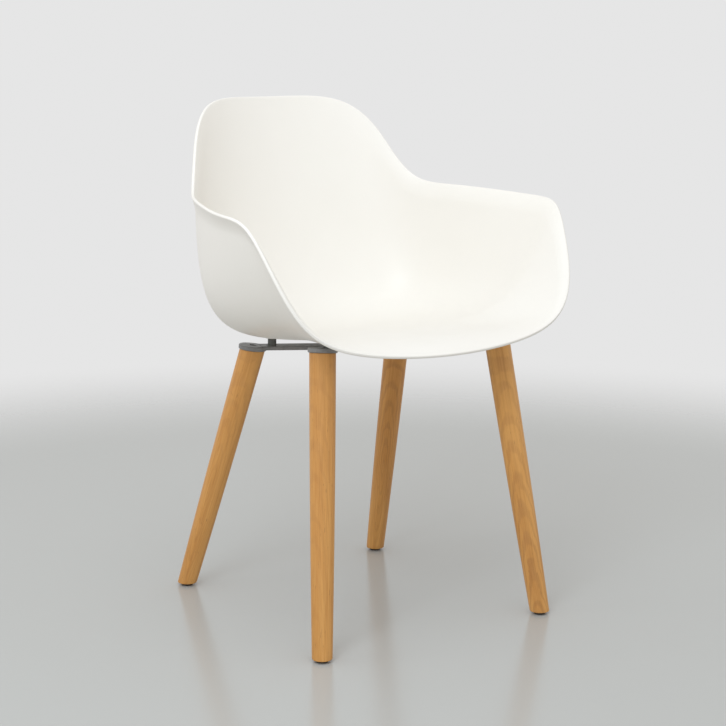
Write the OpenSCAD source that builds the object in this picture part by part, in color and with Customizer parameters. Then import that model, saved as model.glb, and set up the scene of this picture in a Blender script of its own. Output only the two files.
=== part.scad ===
// Dining armchair: a one-piece bucket shell on a four-armed metal frame with four round,
// tapered wooden legs. Millimetres, +Z up. The sitter faces -Y and the sitter's left is +X.
// The origin is on the floor, below the middle of the overall box.

/* [Shell] */
// Distance from the middle of the chair to the outside of an arm
arm_half_w = 290; // [270:1:320]
// Height of the arm tops
arm_h = 647.5; // [620:0.5:680]
// Height of the top edge of the back
back_h = 795.5; // [760:0.5:840]
// Fore-aft place of the top edge of the back
back_y = 270; // [250:1:290]
// Height of the front edge of the seat
front_h = 437; // [432:1:445]
// Fore-aft place of the front edge of the seat
front_y = -268; // [-280:1:-255]
// Thickness of the moulded wall
wall = 5; // [4:0.5:5.5]
// Outward turn of the lip along the arm rims
rim_flare = 7; // [0:0.5:8]

/* [Seat bowl] */
// Height of the underside of the bowl at its middle
bowl_h = 433; // [430:1:438]
// Rise of the seat towards the front, as a fraction of the distance
bowl_rise = 0.117; // [0.1:0.001:0.13]
// Half width of the bowl where the arms turn up
bowl_half_w = 232; // [222:1:238]
// Distance from the middle of the bowl to the turn of the back
bowl_back = 188; // [178:1:196]
// Distance from the middle of the bowl to the turn of the front lip
bowl_front = 225; // [215:1:232]

/* [Frame] */
// Fore-aft place of the middle of the frame
hub_y = 5; // [0:1:10]
// Height of the underside of the frame at its middle
hub_h = 410; // [407:1:411]
// Diameter of the middle disc
hub_d = 48; // [44:1:60]
// Thickness of the arms and pads
plate_t = 7; // [6:0.5:7]
// Width of each arm
arm_w = 30; // [24:1:34]
// Diameter of the pad over each leg
pad_d = 44; // [42:1:48]
// Extra upward tilt of the rear pads beyond the slope of their arms
rear_pad_tilt = 6.4; // [0:0.2:8]
// Distance from a front pad to its post
front_post_in = 40; // [36:1:46]
// Distance from a rear pad to its post
rear_post_in = 31; // [29:1:36]
// Diameter of the posts
post_d = 13.5; // [12:0.5:15]
// Height of a front post
front_post_h = 5; // [4.6:0.1:5.3]
// Height of a rear post
rear_post_h = 10.9; // [10.5:0.1:11.2]

/* [Legs] */
// Sideways place of the top of a front leg
front_top_x = 159; // [150:1:165]
// Fore-aft place of the top of a front leg
front_top_y = -162; // [-168:1:-155]
// Height of the top of a front leg
front_top_h = 443.5; // [441:0.5:443.5]
// Sideways place of a front foot
front_foot_x = 203; // [195:1:212]
// Fore-aft place of a front foot
front_foot_y = -227; // [-235:1:-215]
// Sideways place of the top of a rear leg
rear_top_x = 139; // [132:1:145]
// Fore-aft place of the top of a rear leg
rear_top_y = 76; // [70:1:82]
// Height of the top of a rear leg
rear_top_h = 411.5; // [410:0.5:411.5]
// Sideways place of a rear foot
rear_foot_x = 188; // [180:1:200]
// Fore-aft place of a rear foot
rear_foot_y = 215; // [200:1:225]
// Radius of a leg at its top
leg_r_top = 19.6; // [18:0.1:20.5]
// Radius of a leg at its foot
leg_r_foot = 15.2; // [14:0.1:17]
// Extra radius of a leg halfway down, over a straight taper
leg_swell = 0.8; // [0:0.1:1.5]
// Thickness of the glide under each foot
glide_t = 4; // [3:0.5:5]
// Diameter of the glide
glide_d = 19; // [16:1:24]

/* [Hidden] */
$fn = 48;

// ---- shell surface -------------------------------------------------------------------

// Control points of the right half of the rim, from the back round to the front lip.
rim_half = [
    [0, back_y, back_h - 3],
    [75, back_y - 12, back_h],
    [134, back_y - 42, back_h - 7],
    [172, back_y - 77, back_h - 46],
    [193, back_y - 107, back_h - 104],
    [arm_half_w - 75, 129, arm_h + 5],
    [arm_half_w - 49, 77, arm_h + 3],
    [arm_half_w - 23, 4, arm_h],
    [arm_half_w - 3, -73, arm_h - 5],
    [arm_half_w, -129, arm_h - 6],
    [arm_half_w - 7, -160, arm_h - 16],
    [arm_half_w - 18, -190, arm_h - 63],
    [arm_half_w - 35, front_y + 42, front_h + 81],
    [arm_half_w - 74, front_y + 23, front_h + 28],
    [arm_half_w - 164, front_y + 9, front_h + 6],
    [0, front_y, front_h]
];
half_n = len(rim_half);
rim_net = concat(
    rim_half,
    [for (i = [half_n - 2:-1:1]) [-rim_half[i][0], rim_half[i][1], rim_half[i][2]]]
);
net_n = len(rim_net);

// The bowl's turn: a rounded rectangle on the seat's sloping plane, met at the same bearing.
bowl_mid = [0, 0, bowl_h];
bowl_power = 2.5;
seat_share = 0.65;
function bowl_turn(p) =
    let (
        bearing = atan2(p[1], p[0]),
        reach = p[1] >= 0 ? bowl_back : bowl_front,
        across = pow(abs(cos(bearing)) / bowl_half_w, bowl_power),
        along = pow(abs(sin(bearing)) / reach, bowl_power),
        r = pow(across + along, -1 / bowl_power),
        y = r * sin(bearing)
    ) [r * cos(bearing), y, bowl_h - bowl_rise * y];
turn_net = [for (p = rim_net) bowl_turn(p)];
seat_net = [for (p = turn_net) bowl_mid + seat_share * (p - bowl_mid)];

// The wall stops short of the rim by the flare, which the lip then makes up.
wall_share = 0.29;
wall_bulge = 12;
flare_net = [for (p = rim_net) [rim_flare * cos(atan2(p[1], p[0])), 0, 0]];
top_net = rim_net - flare_net;
function bulge(p) =
    let (bearing = atan2(p[1], p[0]), aside = cos(bearing), back = max(0, sin(bearing)))
    wall_bulge * [aside * abs(aside), back * back, 0];
wall_net = [for (i = [0:net_n - 1])
    turn_net[i] + wall_share * (top_net[i] - turn_net[i]) + bulge(rim_net[i])];

// A point on the closed cubic B-spline through a ring of control points.
function ring_point(net, i, t) =
    (pow(1 - t, 3) * net[(i + net_n - 1) % net_n]
    + (3 * pow(t, 3) - 6 * pow(t, 2) + 4) * net[i]
    + (-3 * pow(t, 3) + 3 * pow(t, 2) + 3 * t + 1) * net[(i + 1) % net_n]
    + pow(t, 3) * net[(i + 2) % net_n]) / 6;

// A point on the quartic curve from the middle of the bowl out to the rim, with its lip.
lip_start = 0.955;
function profile_point(c, v) =
    pow(1 - v, 4) * bowl_mid
    + 4 * v * pow(1 - v, 3) * c[0]
    + 6 * pow(v * (1 - v), 2) * c[1]
    + 4 * pow(v, 3) * (1 - v) * c[2]
    + pow(v, 4) * c[3]
    + pow(max(0, v - lip_start) / (1 - lip_start), 2) * c[4];

steps_per_span = 3;
columns = net_n * steps_per_span;
body_rings = 23;
lip_rings = 4;
ring_shares = concat(
    [for (k = [1:body_rings]) lip_start * k / body_rings],
    [for (k = [1:lip_rings]) lip_start + (1 - lip_start) * k / lip_rings]
);
rings = len(ring_shares);
function column_net(j) =
    let (i = floor(j / steps_per_span), t = j / steps_per_span - i)
    [for (net = [seat_net, turn_net, wall_net, top_net, flare_net]) ring_point(net, i, t)];
outside = let (nets = [for (j = [0:columns - 1]) column_net(j)])
    [for (v = ring_shares) [for (c = nets) profile_point(c, v)]];

function unit(v) = v / norm(v);
function inward(k, j) =
    let (
        round_way = outside[k][(j + 1) % columns] - outside[k][(j + columns - 1) % columns],
        out_way = outside[min(k + 1, rings - 1)][j] - outside[max(k - 1, 0)][j]
    ) unit(cross(round_way, out_way));
inside = [for (k = [0:rings - 1])
    [for (j = [0:columns - 1]) outside[k][j] + wall * inward(k, j)]];
edge = [for (j = [0:columns - 1])
    let (
        k = rings - 1,
        middle = (outside[k][j] + inside[k][j]) / 2,
        out_way = unit(outside[k][j] - outside[k - 1][j])
    ) middle + wall / 2 * out_way];
bowl_up = unit([0, bowl_rise, 1]);

module shell_wall() {
    points = concat(
        [bowl_mid],
        [for (ring = outside) each ring],
        edge,
        [for (k = [rings - 1:-1:0]) each inside[k]],
        [bowl_mid + wall * bowl_up]
    );
    ring_count = 2 * rings + 1;
    last = len(points) - 1;
    function at(k, j) = 1 + k * columns + j % columns;
    faces = concat(
        [for (j = [0:columns - 1]) [0, at(0, j + 1), at(0, j)]],
        [for (k = [0:ring_count - 2], j = [0:columns - 1])
            each [[at(k, j), at(k + 1, j + 1), at(k + 1, j)],
                [at(k, j), at(k, j + 1), at(k + 1, j + 1)]]],
        [for (j = [0:columns - 1]) [last, at(ring_count - 1, j), at(ring_count - 1, j + 1)]]
    );
    polyhedron(points, faces);
}

// ---- corners of the frame ------------------------------------------------------------

// A corner is [front or rear, side]; side is -1 for the sitter's right and 1 for the left.
front = 0;
rear = 1;
right = -1;
left = 1;
corners = [[front, right], [front, left], [rear, right], [rear, left]];
leg_top = [[front_top_x, front_top_y, front_top_h], [rear_top_x, rear_top_y, rear_top_h]];
leg_foot = [[front_foot_x, front_foot_y, glide_t], [rear_foot_x, rear_foot_y, glide_t]];
pad_tilt = [0, rear_pad_tilt];
post_in = [front_post_in, rear_post_in];
post_h = [front_post_h, rear_post_h];
hub = [0, hub_y, hub_h];

function on_side(p, side) = [side * p[0], p[1], p[2]];
function arm_vector(c) = on_side(leg_top[c[0]], c[1]) - hub;

// Turns a child's +X along the arm of corner c, with the arm's underside at z = 0.
module along_arm(c) {
    v = arm_vector(c);
    translate(hub) rotate([0, -asin(v[2] / norm(v)), atan2(v[1], v[0])]) children();
}

module at_pad(c) {
    along_arm(c) translate([norm(arm_vector(c)), 0, 0]) rotate([0, -pad_tilt[c[0]], 0]) children();
}

module at_post(c) {
    along_arm(c) translate([norm(arm_vector(c)) - post_in[c[0]], 0, 0]) children();
}

// ---- shell and its fixings -----------------------------------------------------------

thread_d = 6;
clear_d = 6.6;
shell_insert_d = 8.4;
shell_insert_l = 4.4;
boss_d = 20;
boss_l = 4.2;

module shell_post_face(c) {
    at_post(c) translate([0, 0, plate_t + post_h[c[0]]]) children();
}

module seat_shell() {
    color("whitesmoke") difference() {
        union() {
            shell_wall();
            for (c = corners) shell_post_face(c) cylinder(d = boss_d, h = boss_l);
        }
        for (c = corners)
            shell_post_face(c) translate([0, 0, -1])
                cylinder(d = shell_insert_d, h = shell_insert_l + 1);
    }
}

module shell_inserts() {
    color("darkgoldenrod") for (c = corners)
        shell_post_face(c) difference() {
            cylinder(d = shell_insert_d, h = shell_insert_l);
            translate([0, 0, -1]) cylinder(d = thread_d, h = shell_insert_l + 2);
        }
}

module post(c) {
    length = post_h[c[0]] + arm_inset;
    color("dimgray") at_post(c) translate([0, 0, plate_t - arm_inset]) difference() {
        cylinder(d = post_d, h = length);
        translate([0, 0, -1]) cylinder(d = clear_d, h = length + 2);
    }
}

// A countersunk screw pointing along -Z, with the top of its head at z = 0.
sink_t = 2.2;
sunk_key_d = 4.6;
sunk_key_t = 1.8;
module sunk_screw(length) {
    difference() {
        rotate_extrude() polygon([
            [0, -length], [thread_d / 2, -length], [thread_d / 2, -sink_t],
            [thread_d / 2 + sink_t, 0], [0, 0]
        ]);
        translate([0, 0, -sunk_key_t]) cylinder(d = sunk_key_d, h = sunk_key_t + 1, $fn = 6);
    }
}

module shell_screws() {
    low = arm_inset + arm_sink;
    reach = plate_t - low + shell_insert_l - 0.4;
    color("silver") for (c = corners)
        at_post(c) translate([0, 0, low]) rotate([180, 0, 0]) sunk_screw(reach + post_h[c[0]]);
}

// ---- frame ---------------------------------------------------------------------------

edge_cut = 1;
hub_t = 11;
arm_start = 8;
arm_inset = 0.5;
arm_sink = 0.3;
pad_sink = 2.2;
pin_d = 4;
pin_in = 12;

// A round plate with its upper and lower edges broken.
module disc(d, t) {
    rotate_extrude() polygon([
        [0, 0], [d / 2 - edge_cut, 0], [d / 2, edge_cut],
        [d / 2, t - edge_cut], [d / 2 - edge_cut, t], [0, t]
    ]);
}

// A flat bar with broken edges, a little thinner than the pads, along +X.
module bar(length) {
    half = arm_w / 2;
    low = arm_inset;
    high = plate_t - arm_inset;
    translate([arm_start, 0, 0]) rotate([90, 0, 90]) linear_extrude(length - arm_start) polygon([
        [-half + edge_cut, low], [half - edge_cut, low], [half, low + edge_cut],
        [half, high - edge_cut], [half - edge_cut, high], [-half + edge_cut, high],
        [-half, high - edge_cut], [-half, low + edge_cut]
    ]);
}

// A clearance hole along -Z whose countersink starts a depth below its mouth at z = 0.
module sunk_hole(depth) {
    mouth_r = clear_d / 2 + sink_t;
    rotate_extrude() polygon([
        [0, -plate_t - 1], [clear_d / 2, -plate_t - 1], [clear_d / 2, -depth - sink_t],
        [mouth_r, -depth], [mouth_r, 1], [0, 1]
    ]);
}

module frame() {
    color("slategray") difference() {
        union() {
            translate(hub) disc(hub_d, hub_t);
            for (c = corners) {
                along_arm(c) bar(norm(arm_vector(c)));
                at_pad(c) disc(pad_d, plate_t);
            }
        }
        for (c = corners) {
            at_post(c) translate([0, 0, arm_inset]) rotate([180, 0, 0])
                sunk_hole(arm_sink);
            at_pad(c) {
                translate([0, 0, plate_t]) sunk_hole(pad_sink);
                translate([-pin_in, 0, -1]) cylinder(d = pin_d, h = plate_t + 2);
            }
        }
    }
}

// ---- legs ----------------------------------------------------------------------------

leg_insert_d = 10;
leg_insert_l = 22;
leg_screw_l = 24;
pin_l = 14;
glide_hole_d = 3;
glide_hole_l = 16;
past_end = 30;

// The radius of a leg at a share t of the way from its top to its foot.
function leg_r(t) = leg_r_top + (leg_r_foot - leg_r_top) * t + 4 * leg_swell * t * (1 - t);

// A tapered, slightly swelling round bar from p to q, running on past both ends.
module taper(p, q) {
    v = p - q;
    length = norm(v);
    steps = 9;
    heights = [for (i = [0:steps]) -past_end + (length + 2 * past_end) * i / steps];
    translate(q) rotate([0, acos(v[2] / length), atan2(v[1], v[0])])
        rotate([0, 0, 90]) rotate_extrude() polygon(concat(
            [[0, heights[0]]],
            [for (h = heights) [leg_r(1 - h / length), h]],
            [[0, heights[steps]]]
        ));
}

module leg(c) {
    above = 80;
    wide = 160;
    color("burlywood") difference() {
        taper(on_side(leg_top[c[0]], c[1]), on_side(leg_foot[c[0]], c[1]));
        at_pad(c) {
            translate([-wide / 2, -wide / 2, 0]) cube([wide, wide, above]);
            translate([0, 0, -leg_insert_l - 4]) cylinder(d = leg_insert_d, h = leg_insert_l + 5);
            translate([-pin_in, 0, plate_t - pin_l]) cylinder(d = pin_d, h = pin_l);
        }
        translate(on_side(leg_foot[c[0]], c[1])) {
            translate([-wide / 2, -wide / 2, -above]) cube([wide, wide, above]);
            translate([0, 0, -1]) cylinder(d = glide_hole_d, h = glide_hole_l + 1);
        }
    }
}

module leg_inserts() {
    color("darkgoldenrod") for (c = corners)
        at_pad(c) translate([0, 0, -leg_insert_l]) difference() {
            cylinder(d = leg_insert_d, h = leg_insert_l);
            translate([0, 0, -1]) cylinder(d = thread_d, h = leg_insert_l + 2);
        }
}

module leg_screws() {
    color("dimgray") for (c = corners)
        at_pad(c) translate([0, 0, plate_t - pad_sink]) sunk_screw(leg_screw_l);
}

module leg_pins() {
    color("silver") for (c = corners)
        at_pad(c) translate([-pin_in, 0, plate_t - pin_l]) cylinder(d = pin_d, h = pin_l);
}

// ---- feet ----------------------------------------------------------------------------

glide_head_d = 7;
glide_head_t = 1.6;
glide_head_h = 0.8;
glide_screw_l = 18;

module glide(c) {
    color("dimgray") translate(on_side(leg_foot[c[0]], c[1]) - [0, 0, glide_t]) difference() {
        disc(glide_d, glide_t);
        translate([0, 0, -1]) cylinder(d = glide_hole_d, h = glide_t + 2);
        translate([0, 0, -1]) cylinder(d = glide_head_d, h = glide_head_h + glide_head_t + 1);
    }
}

module glide_screws() {
    color("silver") for (c = corners)
        translate(on_side(leg_foot[c[0]], c[1]) - [0, 0, glide_t]) {
            translate([0, 0, glide_head_h]) cylinder(d = glide_head_d - 0.4, h = glide_head_t);
            translate([0, 0, glide_head_h]) cylinder(d = glide_hole_d, h = glide_screw_l);
        }
}

seat_shell();
shell_inserts();
frame();
post([front, right]);  // post_front_right
post([front, left]);  // post_front_left
post([rear, right]);  // post_rear_right
post([rear, left]);  // post_rear_left
shell_screws();
leg([front, right]);  // leg_front_right
leg([front, left]);  // leg_front_left
leg([rear, right]);  // leg_rear_right
leg([rear, left]);  // leg_rear_left
leg_inserts();
leg_screws();
leg_pins();
glide([front, right]);  // glide_front_right
glide([front, left]);  // glide_front_left
glide([rear, right]);  // glide_rear_right
glide([rear, left]);  // glide_rear_left
glide_screws();
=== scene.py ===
"""Looks of the dining armchair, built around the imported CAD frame. Metres, +Z up, sitter faces -Y."""

import math

import bpy
import numpy as np
from mathutils import Matrix, Vector


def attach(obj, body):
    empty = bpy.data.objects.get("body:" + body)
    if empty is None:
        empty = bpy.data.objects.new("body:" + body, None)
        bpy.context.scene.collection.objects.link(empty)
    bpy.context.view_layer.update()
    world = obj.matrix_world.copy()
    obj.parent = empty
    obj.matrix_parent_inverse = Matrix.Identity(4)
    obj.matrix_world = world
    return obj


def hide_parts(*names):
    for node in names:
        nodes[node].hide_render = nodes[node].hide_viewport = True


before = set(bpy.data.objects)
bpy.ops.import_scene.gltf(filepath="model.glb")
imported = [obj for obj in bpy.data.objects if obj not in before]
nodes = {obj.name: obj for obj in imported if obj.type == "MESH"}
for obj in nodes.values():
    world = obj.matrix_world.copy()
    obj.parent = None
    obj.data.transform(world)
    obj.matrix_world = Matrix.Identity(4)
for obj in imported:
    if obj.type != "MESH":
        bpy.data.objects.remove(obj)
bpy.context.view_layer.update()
MM = 0.001
BODY = "root"

# ---- driving dimensions, the same as the part's own, in millimetres ------------------------

ARM_HALF_W, ARM_H = 290, 647.5
BACK_H, BACK_Y = 795.5, 270
FRONT_H, FRONT_Y = 437, -268
WALL, RIM_FLARE, WALL_BULGE = 5, 7, 12
BOWL_H, BOWL_RISE = 433, 0.117
BOWL_HALF_W, BOWL_BACK, BOWL_FRONT = 232, 188, 225
BOWL_POWER, SEAT_SHARE, WALL_SHARE, LIP_START = 2.5, 0.65, 0.29, 0.955

HUB = np.array([0, 5, 410.0])
PLATE_T = 7
BOSS_D, BOSS_L, INSERT_D = 20, 4.2, 8.4
LEG_R_TOP, LEG_R_FOOT, LEG_SWELL = 19.6, 15.2, 0.8
GLIDE_T = 4

# Per corner: the middle of the leg's top and foot, the distance from the pad in to the post, the
# height of the post over its arm, and the extra tilt of the pad in degrees.
FRONT = dict(post_in=40, post_h=5, pad_tilt=0)
REAR = dict(post_in=31, post_h=10.9, pad_tilt=6.4)
CORNERS = {
    "front_right": dict(top=(-159, -162, 443.5), foot=(-203, -227, GLIDE_T), **FRONT),
    "front_left": dict(top=(159, -162, 443.5), foot=(203, -227, GLIDE_T), **FRONT),
    "rear_right": dict(top=(-139, 76, 411.5), foot=(-188, 215, GLIDE_T), **REAR),
    "rear_left": dict(top=(139, 76, 411.5), foot=(188, 215, GLIDE_T), **REAR),
}

# ---- camera, lights and stage ---------------------------------------------------------------

CAMERA_PLACE = (-1.5689, -2.3892, 0.9137)
CAMERA_TURN, CAMERA_DIP = math.radians(-33.614), math.radians(10.438)
CAMERA_LENS, SENSOR = 91.11, 36
NEAR_CLIP, FAR_CLIP = 0.05, 60

MIDDLE = (0, 0, 0.5)
COOL, COLD, WHITE = (0.90, 0.955, 1.0), (0.80, 0.90, 1.0), (1.0, 1.0, 1.0)
SKY_STRENGTH = 0.79

FLOOR_R, FLOOR_SIDES = 4.0, 96
FLOOR_FADE = (1.2, 2.2)


def facing(direction):
    """The rotation of a camera or lamp that looks along direction."""
    return direction.to_track_quat("-Z", "Y").to_euler()


def make_camera():
    data = bpy.data.cameras.new("camera")
    data.lens, data.sensor_width = CAMERA_LENS, SENSOR
    data.clip_start, data.clip_end = NEAR_CLIP, FAR_CLIP
    cam = bpy.data.objects.new("camera", data)
    cam.location = CAMERA_PLACE
    ahead = Vector((
        -math.sin(CAMERA_TURN) * math.cos(CAMERA_DIP),
        math.cos(CAMERA_TURN) * math.cos(CAMERA_DIP),
        -math.sin(CAMERA_DIP),
    ))
    cam.rotation_euler = facing(ahead)
    bpy.context.scene.collection.objects.link(cam)
    bpy.context.scene.camera = cam


def soft_box(name, place, size, watts, colour, mirrored=True):
    """A square area light that faces the chair. Only a mirrored one shows in glossy surfaces."""
    data = bpy.data.lights.new(name, "AREA")
    data.shape, data.size = "SQUARE", size
    data.energy, data.color = watts, colour
    lamp = bpy.data.objects.new(name, data)
    lamp.location = place
    lamp.rotation_euler = facing(Vector(MIDDLE) - Vector(place))
    lamp.visible_camera = False
    lamp.visible_glossy = mirrored
    bpy.context.scene.collection.objects.link(lamp)


def make_light():
    soft_box("key", (-1.9, -1.45, 2.3), 1.2, 31, COLD)
    soft_box("top", (-0.6, -0.7, 3.2), 1.6, 14, COOL)
    soft_box("side", (-2.6, 0.8, 0.8), 1.0, 6, WHITE, mirrored=False)
    world = bpy.data.worlds.new("studio")
    world.use_nodes = True
    sky = world.node_tree.nodes["Background"]
    sky.inputs["Color"].default_value = (*WHITE, 1)
    sky.inputs["Strength"].default_value = SKY_STRENGTH
    bpy.context.scene.world = world


# ---- small node helpers ---------------------------------------------------------------------


class Shader:
    """A material's node tree with one principled shader, and short calls that add nodes to it."""

    def __init__(self, name, **inputs):
        self.material = bpy.data.materials.new(name)
        self.material.use_nodes = True
        self.tree = self.material.node_tree
        self.main = self.tree.nodes["Principled BSDF"]
        for key, value in inputs.items():
            self.main.inputs[key.replace("_", " ")].default_value = value

    def add(self, kind, values=None, **settings):
        node = self.tree.nodes.new(kind)
        for key, value in settings.items():
            setattr(node, key, value)
        for key, value in (values or {}).items():
            if isinstance(value, bpy.types.NodeSocket):
                self.tree.links.new(value, node.inputs[key])
            else:
                node.inputs[key].default_value = value
        return node

    def link(self, socket, key):
        self.tree.links.new(socket, self.main.inputs[key])

    def place(self, attribute=None):
        """Where a point is: on its object, or in a stored attribute."""
        if attribute:
            return self.add("ShaderNodeAttribute", attribute_name=attribute).outputs["Vector"]
        return self.add("ShaderNodeTexCoord").outputs["Object"]

    def stretch(self, vector, scale, shift=(0, 0, 0), turn=(0, 0, 0)):
        node = self.add("ShaderNodeMapping", {
            "Vector": vector, "Scale": scale, "Location": shift, "Rotation": turn,
        })
        return node.outputs["Vector"]

    def noise(self, vector, scale, detail, rough, bend=0.0):
        node = self.add("ShaderNodeTexNoise", {
            "Vector": vector, "Scale": scale, "Detail": detail, "Roughness": rough, "Distortion": bend,
        })
        return node.outputs["Fac"]

    def rings(self, vector, spacing, bend):
        """Growth rings round +Z, a spacing apart in metres."""
        node = self.add("ShaderNodeTexWave", {
            "Vector": vector, "Scale": math.tau / 20 / spacing, "Distortion": bend,
            "Detail": 2.0, "Detail Scale": 0.3, "Detail Roughness": 0.5,
        }, wave_type="RINGS", rings_direction="Z", wave_profile="SIN")
        return node.outputs["Fac"]

    def range(self, value, low, high, to_low=0.0, to_high=1.0):
        """Smoothly takes low to to_low and high to to_high."""
        node = self.add("ShaderNodeMapRange", {
            "Value": value, "From Min": low, "From Max": high, "To Min": to_low, "To Max": to_high,
        }, interpolation_type="SMOOTHSTEP")
        return node.outputs["Result"]

    def mix(self, factor, a, b):
        """Colour a at factor 0 and colour b at factor 1."""
        node = self.add("ShaderNodeMix", {"Factor": factor, 6: a, 7: b}, data_type="RGBA")
        return node.outputs[2]

    def math(self, operation, a, b):
        return self.add("ShaderNodeMath", {0: a, 1: b}, operation=operation).outputs[0]

    def bump(self, height, depth, strength=1.0, under=None):
        values = {"Height": height, "Distance": depth, "Strength": strength}
        if under:
            values["Normal"] = under
        return self.add("ShaderNodeBump", values).outputs["Normal"]


def rgb(red, green, blue):
    return (red, green, blue, 1.0)


# ---- materials ------------------------------------------------------------------------------


def moulded_plastic():
    """White polypropylene with a fine satin texture, faint mottling and a few dull scuffs."""
    s = Shader("moulded_plastic", IOR=1.49)
    at = s.place()
    cloud = s.noise(at, 9, 3, 0.5)
    s.link(s.mix(cloud, rgb(0.838, 0.804, 0.742), rgb(0.858, 0.826, 0.770)), "Base Color")
    patch = s.noise(at, 22, 5, 0.6)
    worn = s.noise(s.stretch(at, (60, 60, 18)), 4, 4, 0.65, 0.6)
    scuff = s.range(worn, 0.64, 0.74)
    rough = s.math("ADD", s.range(patch, 0.3, 0.7, 0.40, 0.47), s.math("MULTIPLY", scuff, 0.10))
    s.link(rough, "Roughness")
    grain = s.noise(at, 1500, 2, 0.5)
    wave = s.noise(at, 26, 1, 0.4)
    s.link(s.bump(grain, 0.00006, 0.6, s.bump(wave, 0.0006, 0.25)), "Normal")
    return s.material


HEART_OFF, HEART_LEAN, RING_SPACING = 0.031, 0.075, 0.0031


def oiled_wood(name, seed, heart, figure):
    """Warm beech with its grain along the stored direction.

    Growth rings run round a heart beside the leg and a few degrees off its line, so they show as
    arches on the near side and as straight lines elsewhere. Heart is the bearing of that side, and
    figure is how strongly the grain shows.
    """
    s = Shader(name, IOR=1.46)
    blank = s.place("grain")
    at = s.stretch(blank, (1, 1, 1), (0.37 * seed, 0.19 * seed, 0.71 * seed))
    away = (-HEART_OFF * math.cos(heart), -HEART_OFF * math.sin(heart), 0)
    lean = (-HEART_LEAN * math.sin(heart), HEART_LEAN * math.cos(heart), 0)
    arches = s.rings(s.stretch(blank, (1, 1, 1), away, lean), RING_SPACING, 4.5)
    drift = s.noise(s.stretch(at, (14, 14, 2.2)), 1, 2, 0.5)
    bands = s.noise(s.stretch(at, (95, 95, 3.2)), 1, 4, 0.55, 0.8)
    fibre = s.noise(s.stretch(at, (900, 900, 22)), 1, 3, 0.6)
    fleck = s.noise(s.stretch(at, (620, 620, 75)), 1, 2, 0.5)
    base = s.mix(s.range(bands, 0.34, 0.66), rgb(0.56, 0.255, 0.060), rgb(0.72, 0.36, 0.098))
    deep = s.math("MULTIPLY", s.range(drift, 0.35, 0.7), 0.4 + 0.22 * figure)
    base = s.mix(deep, base, rgb(0.50, 0.21, 0.048))
    strength = s.range(drift, 0.3, 0.65, 0.12 * figure, 0.45 * figure)
    late = s.math("MULTIPLY", s.range(arches, 0.35, 1.0), strength)
    base = s.mix(late, base, rgb(0.36, 0.145, 0.04))
    pale = s.math("MULTIPLY", s.range(fibre, 0.3, 0.7), 0.28)
    base = s.mix(pale, base, rgb(0.78, 0.44, 0.15))
    marks = s.math("MULTIPLY", s.range(fleck, 0.66, 0.76), 0.5)
    s.link(s.mix(marks, base, rgb(0.20, 0.085, 0.03)), "Base Color")
    s.link(s.range(fibre, 0.25, 0.75, 0.40, 0.56), "Roughness")
    s.link(s.bump(fibre, 0.00012, 0.5, s.bump(bands, 0.0004, 0.2)), "Normal")
    return s.material


def coated_metal(name, dark, light, rough):
    """Satin powder coat over metal, with orange peel and slightly brighter rubbed spots."""
    s = Shader(name, IOR=1.5, Metallic=0.25)
    at = s.place()
    cloud = s.noise(at, 60, 4, 0.6)
    s.link(s.mix(s.range(cloud, 0.35, 0.7), dark, light), "Base Color")
    s.link(s.range(s.noise(at, 140, 3, 0.5), 0.3, 0.7, rough - 0.05, rough + 0.07), "Roughness")
    s.link(s.bump(s.noise(at, 1400, 2, 0.5), 0.00008, 0.5), "Normal")
    return s.material


def bare_metal(name, tint, rough):
    """Turned or plated metal with fine scratches."""
    s = Shader(name, Metallic=1.0)
    at = s.place()
    scratch = s.noise(s.stretch(at, (1, 1, 12)), 700, 3, 0.6)
    faded = rgb(*(0.72 * c for c in tint[:3]))
    s.link(s.mix(s.range(s.noise(at, 240, 3, 0.5), 0.35, 0.7), tint, faded), "Base Color")
    s.link(s.range(scratch, 0.3, 0.7, rough - 0.06, rough + 0.1), "Roughness")
    s.link(s.bump(scratch, 0.00005, 0.4), "Normal")
    return s.material


def glide_plastic():
    """Black glide plastic, rubbed grey where it meets the floor."""
    s = Shader("glide_plastic", IOR=1.5)
    at = s.place()
    rub = s.noise(at, 420, 4, 0.65)
    clean, worn = rgb(0.018, 0.018, 0.018), rgb(0.06, 0.058, 0.055)
    s.link(s.mix(s.range(rub, 0.45, 0.75), clean, worn), "Base Color")
    s.link(s.range(rub, 0.3, 0.7, 0.45, 0.68), "Roughness")
    s.link(s.bump(rub, 0.0001, 0.5), "Normal")
    return s.material


def floor_paint():
    """Pale satin floor that fades out into the light background away from the chair."""
    s = Shader("floor_paint", Base_Color=rgb(0.458, 0.46, 0.44), Roughness=0.2, IOR=1.4)
    at = s.place()
    away = s.add("ShaderNodeVectorMath", {0: at}, operation="LENGTH").outputs["Value"]
    s.link(s.range(away, FLOOR_FADE[0], FLOOR_FADE[1], 1.0, 0.0), "Alpha")
    return s.material


# ---- the shell ------------------------------------------------------------------------------

RIM_HALF = [
    (0, BACK_Y, BACK_H - 3),
    (75, BACK_Y - 12, BACK_H),
    (134, BACK_Y - 42, BACK_H - 7),
    (172, BACK_Y - 77, BACK_H - 46),
    (193, BACK_Y - 107, BACK_H - 104),
    (ARM_HALF_W - 75, 129, ARM_H + 5),
    (ARM_HALF_W - 49, 77, ARM_H + 3),
    (ARM_HALF_W - 23, 4, ARM_H),
    (ARM_HALF_W - 3, -73, ARM_H - 5),
    (ARM_HALF_W, -129, ARM_H - 6),
    (ARM_HALF_W - 7, -160, ARM_H - 16),
    (ARM_HALF_W - 18, -190, ARM_H - 63),
    (ARM_HALF_W - 35, FRONT_Y + 42, FRONT_H + 81),
    (ARM_HALF_W - 74, FRONT_Y + 23, FRONT_H + 28),
    (ARM_HALF_W - 164, FRONT_Y + 9, FRONT_H + 6),
    (0, FRONT_Y, FRONT_H),
]
STEPS_PER_SPAN = 12
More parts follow.
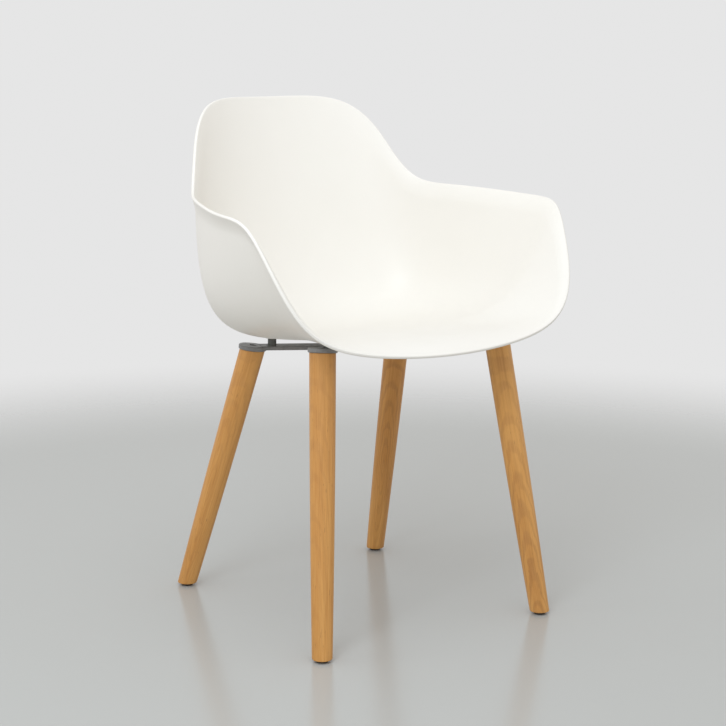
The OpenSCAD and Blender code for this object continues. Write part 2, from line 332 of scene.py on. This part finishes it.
RING_SHARES = np.concatenate([
    np.linspace(0, LIP_START, 100, endpoint=False), np.linspace(LIP_START, 1, 17),
])
EDGE_STEPS, EDGE_POWER = 8, 0.72
BOSS_SOFT, BOSS_COLUMNS = 0.8, 64


def bowl_turn(rim):
    """Where the bowl turns up into the walls, for each control point of the rim."""
    bearing = np.arctan2(rim[:, 1], rim[:, 0])
    reach = np.where(rim[:, 1] >= 0, BOWL_BACK, BOWL_FRONT)
    across = (np.abs(np.cos(bearing)) / BOWL_HALF_W) ** BOWL_POWER
    along = (np.abs(np.sin(bearing)) / reach) ** BOWL_POWER
    r = (across + along) ** (-1 / BOWL_POWER)
    y = r * np.sin(bearing)
    return np.stack([r * np.cos(bearing), y, BOWL_H - BOWL_RISE * y], axis=1)


def closed_spline(net):
    """The closed cubic B-spline through a ring of control points, evenly sampled on each span."""
    t = (np.arange(STEPS_PER_SPAN) / STEPS_PER_SPAN)[:, None]
    weights = (
        (1 - t) ** 3,
        3 * t**3 - 6 * t**2 + 4,
        -3 * t**3 + 3 * t**2 + 3 * t + 1,
        t**3,
    )
    spans = [
        sum(w * net[(i + k) % len(net)] for w, k in zip(weights, (-1, 0, 1, 2))) / 6
        for i in range(len(net))
    ]
    return np.concatenate(spans)


def unit(v):
    return v / np.linalg.norm(v, axis=-1, keepdims=True)


def shell_surface():
    """Outer and inner rings of the wall, from the middle of the bowl out to the rim."""
    half = np.array(RIM_HALF, float)
    rim = np.concatenate([half, half[-2:0:-1] * (-1, 1, 1)])
    turn = bowl_turn(rim)
    middle = np.array([0, 0, BOWL_H], float)
    bearing = np.arctan2(rim[:, 1], rim[:, 0])
    aside, back = np.cos(bearing), np.clip(np.sin(bearing), 0, 1)
    none = np.zeros_like(aside)
    flare = RIM_FLARE * np.stack([aside, none, none], axis=1)
    bulge = WALL_BULGE * np.stack([aside * np.abs(aside), back**2, none], axis=1)
    top = rim - flare
    nets = [
        middle + SEAT_SHARE * (turn - middle),
        turn,
        turn + WALL_SHARE * (top - turn) + bulge,
        top,
        flare,
    ]
    c = [closed_spline(net) for net in nets]
    v = RING_SHARES[:, None, None]
    lip = (np.clip(v - LIP_START, 0, 1) / (1 - LIP_START)) ** 2
    outer = (
        (1 - v) ** 4 * middle
        + 4 * v * (1 - v) ** 3 * c[0]
        + 6 * (v * (1 - v)) ** 2 * c[1]
        + 4 * v**3 * (1 - v) * c[2]
        + v**4 * c[3]
        + lip * c[4]
    )
    round_way = np.roll(outer, -1, axis=1) - np.roll(outer, 1, axis=1)
    out_way = np.gradient(outer, axis=0)
    inward = np.zeros_like(outer)
    inward[1:] = unit(np.cross(round_way[1:], out_way[1:]))
    inward[0] = unit(np.array([0, BOWL_RISE, 1.0]))
    return outer, inward


def grid_faces(rows, columns):
    """Quads between rings of points, each ring closed."""
    i = np.arange(rows - 1)[:, None] * columns
    j = np.arange(columns)[None, :]
    k = (j + 1) % columns
    quads = np.stack([i + j, i + columns + j, i + columns + k, i + k], axis=-1)
    return quads.reshape(-1, 4).tolist()


def make_mesh(name, points, faces, material, smooth_angle):
    """A mesh object from points in millimetres, which rides on the chair.

    Edges sharper than smooth_angle, in degrees, stay sharp.
    """
    mesh = bpy.data.meshes.new(name)
    mesh.from_pydata((np.asarray(points) * MM).tolist(), [], faces)
    mesh.validate()
    mesh.materials.append(material)
    mesh.shade_smooth()
    mesh.set_sharp_from_angle(angle=math.radians(smooth_angle))
    piece = bpy.data.objects.new(name, mesh)
    bpy.context.scene.collection.objects.link(piece)
    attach(piece, BODY)
    return piece


def lathe(profile, columns, first):
    """Points and faces of a closed ring solid turned round +Z; profile is a closed loop of (r, z).

    The faces count their points from first on.
    """
    angle = np.arange(columns) * 2 * math.pi / columns
    r, z = np.array(profile, float).T
    points = np.stack([
        r[:, None] * np.cos(angle),
        r[:, None] * np.sin(angle),
        np.repeat(z[:, None], columns, axis=1),
    ], axis=-1)
    last = (len(profile) - 1) * columns
    wrap = [
        [last + j, j, (j + 1) % columns, last + (j + 1) % columns]
        for j in range(columns)
    ]
    quads = grid_faces(len(profile), columns) + wrap
    faces = [[first + k for k in reversed(quad)] for quad in quads]
    return points.reshape(-1, 3), faces


def arm_matrix(corner, along, up):
    """The place on a corner's arm at a distance along from the hub and up from its underside."""
    v = np.array(corner["top"], float) - HUB
    tilt = math.asin(v[2] / np.linalg.norm(v))
    turn = Matrix.Rotation(math.atan2(v[1], v[0]), 4, "Z") @ Matrix.Rotation(-tilt, 4, "Y")
    return Matrix.Translation(Vector(HUB)) @ turn @ Matrix.Translation((along, 0, up))


def pad_up(corner):
    """The direction a corner's pad faces."""
    tilt = Matrix.Rotation(-math.radians(corner["pad_tilt"]), 4, "Y")
    return np.array(arm_matrix(corner, 0, 0) @ tilt)[:3, 2]


def arm_length(corner):
    return float(np.linalg.norm(np.array(corner["top"], float) - HUB))


def moved(points, matrix):
    m = np.array(matrix)
    return points @ m[:3, :3].T + m[:3, 3]


def rim_edge(outer, inward):
    """Rings that round the rim from the outer to the inner surface."""
    middle = outer[-1] + WALL / 2 * inward[-1]
    ahead = unit(outer[-1] - outer[-2])
    edge = []
    for k in range(1, EDGE_STEPS):
        angle = -math.pi / 2 + math.pi * k / EDGE_STEPS
        forward = abs(math.cos(angle)) ** EDGE_POWER
        across = math.copysign(abs(math.sin(angle)) ** EDGE_POWER, angle)
        edge.append(middle + WALL / 2 * (forward * ahead + across * inward[-1]))
    return edge


def make_shell(material):
    outer, inward = shell_surface()
    columns = outer.shape[1]
    inner = outer + WALL * inward
    rings = [*outer[1:], *rim_edge(outer, inward), *inner[:0:-1]]
    points = np.concatenate([*rings, outer[0][:1], inner[0][:1]])
    faces = grid_faces(len(rings), columns)
    low, high = len(points) - 2, len(points) - 1
    last = (len(rings) - 1) * columns
    for j in range(columns):
        k = (j + 1) % columns
        faces.append([low, j, k])
        faces.append([high, last + k, last + j])
    r_in, r_out, soft = INSERT_D / 2, BOSS_D / 2, BOSS_SOFT
    boss = [
        (r_in, 0.3), (r_in + 0.3, 0), (r_out - soft, 0), (r_out - 0.2 * soft, 0.2 * soft),
        (r_out, soft), (r_out, BOSS_L), (r_in, BOSS_L),
    ]
    all_points, count = [points], len(points)
    for corner in CORNERS.values():
        ring, ring_faces = lathe(boss, BOSS_COLUMNS, count)
        place = arm_matrix(corner, arm_length(corner) - corner["post_in"], PLATE_T + corner["post_h"])
        all_points.append(moved(ring, place))
        faces += ring_faces
        count += len(ring)
    piece = make_mesh("shell", np.concatenate(all_points), faces, material, 50)
    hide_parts("seat_shell")


# ---- the legs -------------------------------------------------------------------------------

# The bearing of the heart of each leg's wood in degrees, and how strongly its grain shows.
GRAIN = dict(
    front_right=(225, 0.45),
    front_left=(195, 1.15),
    rear_right=(195, 0.55),
    rear_left=(250, 1.1),
)
LEG_COLUMNS, LEG_RINGS, END_RINGS = 96, 60, 6
FOOT_ROUND, TOP_ROUND = 1.6, 1.2


def leg_radius(t):
    """Radius at a share t of the way down."""
    return LEG_R_TOP + (LEG_R_FOOT - LEG_R_TOP) * t + 4 * LEG_SWELL * t * (1 - t)


def leg_rings(corner, turn):
    """Rings of points up a leg with rounded ends, its top cut along the pad and its foot flat.

    turn takes a direction from the leg's own axes, whose z runs up the leg, to the chair's.
    """
    top, foot = np.array(corner["top"], float), np.array(corner["foot"], float)
    axis = unit(top - foot)
    length = np.linalg.norm(top - foot)
    angle = np.arange(LEG_COLUMNS) * 2 * math.pi / LEG_COLUMNS
    round_way = np.stack([np.cos(angle), np.sin(angle), 0 * angle], axis=1) @ turn.T

    def height_on(plane_up, plane_at, radius):
        """How far up the axis each side of a bar of that radius meets a slanting plane."""
        return ((plane_at - foot) @ plane_up - radius * (round_way @ plane_up)) / (axis @ plane_up)

    def on_side(radius, height):
        return foot + np.reshape(radius, (-1, 1)) * round_way + height[:, None] * axis

    def end_ring(radius, plane_up, plane_at, size, share):
        """One ring of an end rounded by size, which is negative at the top.

        Share 0 is on the side and 1 is on the end face.
        """
        turned = share * math.pi / 2
        r = radius - abs(size) * (1 - math.cos(turned))
        h = height_on(plane_up, plane_at, r) + size * (1 - math.sin(turned))
        return on_side(r, h), h

    shares = np.linspace(1, 0, END_RINGS)
    up, flat = pad_up(corner), np.array([0, 0, 1.0])
    rings = []
    for share in shares:
        ring, start = end_ring(leg_radius(1), flat, foot, FOOT_ROUND, share)
        rings.append(ring)
    stop = height_on(up, top, leg_radius(0)) - TOP_ROUND
    for k in range(1, LEG_RINGS):
        h = start + (stop - start) * k / LEG_RINGS
        rings.append(on_side(leg_radius(1 - h / length), h))
    for share in shares[::-1]:
        ring, _ = end_ring(leg_radius(0), up, top, -TOP_ROUND, share)
        rings.append(ring)
    return rings


def make_leg(name, corner, material):
    top, foot = np.array(corner["top"], float), np.array(corner["foot"], float)
    turn = np.array(Vector(unit(top - foot)).to_track_quat("Z", "Y").to_matrix())
    rings = leg_rings(corner, turn)
    points = np.concatenate([*rings, [foot], [top]])
    faces = [quad[::-1] for quad in grid_faces(len(rings), LEG_COLUMNS)]
    low, high = len(points) - 2, len(points) - 1
    last = (len(rings) - 1) * LEG_COLUMNS
    for j in range(LEG_COLUMNS):
        k = (j + 1) % LEG_COLUMNS
        faces.append([low, k, j])
        faces.append([high, last + j, last + k])
    piece = make_mesh("leg_" + name + "_wood", points, faces, material, 60)
    grain = piece.data.attributes.new("grain", "FLOAT_VECTOR", "POINT")
    grain.data.foreach_set("vector", (((points - foot) @ turn) * MM).astype(np.float32).ravel())
    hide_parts("leg_" + name)


# ---- carried-over metal and plastic nodes ----------------------------------------------------


def dress(node, material):
    """Gives a CAD node its material."""
    slots = nodes[node].data.materials
    slots.clear()
    slots.append(material)


def dress_metal_and_plastic():
    grey = coated_metal("frame_coat", rgb(0.19, 0.186, 0.18), rgb(0.25, 0.246, 0.238), 0.38)
    dark = coated_metal("post_coat", rgb(0.11, 0.112, 0.10), rgb(0.16, 0.162, 0.148), 0.4)
    zinc = bare_metal("zinc_plate", rgb(0.60, 0.61, 0.62), 0.32)
    black = bare_metal("black_oxide", rgb(0.04, 0.04, 0.04), 0.5)
    brass = bare_metal("brass", rgb(0.72, 0.53, 0.24), 0.3)
    rubbed = glide_plastic()
    dress("frame", grey)
    for name in CORNERS:
        dress("post_" + name, dark)
        dress("glide_" + name, rubbed)
    for name in ("shell_screws", "leg_pins", "glide_screws"):
        dress(name, zinc)
    dress("leg_screws", black)
    for name in ("shell_inserts", "leg_inserts"):
        dress(name, brass)


# ---- build ----------------------------------------------------------------------------------


def make_floor():
    mesh = bpy.data.meshes.new("floor")
    angles = np.linspace(0, 2 * math.pi, FLOOR_SIDES, endpoint=False)
    ring = [(FLOOR_R * math.cos(a), FLOOR_R * math.sin(a), 0) for a in angles]
    mesh.from_pydata(ring, [], [list(range(FLOOR_SIDES))])
    mesh.materials.append(floor_paint())
    floor = bpy.data.objects.new("floor", mesh)
    bpy.context.scene.collection.objects.link(floor)


make_camera()
make_light()
make_floor()
make_shell(moulded_plastic())
for seed, (name, corner) in enumerate(CORNERS.items(), 1):
    heart, figure = GRAIN[name]
    make_leg(name, corner, oiled_wood("wood_" + name, seed, math.radians(heart), figure))
dress_metal_and_plastic()
bpy.context.scene.view_settings.view_transform = "Standard"
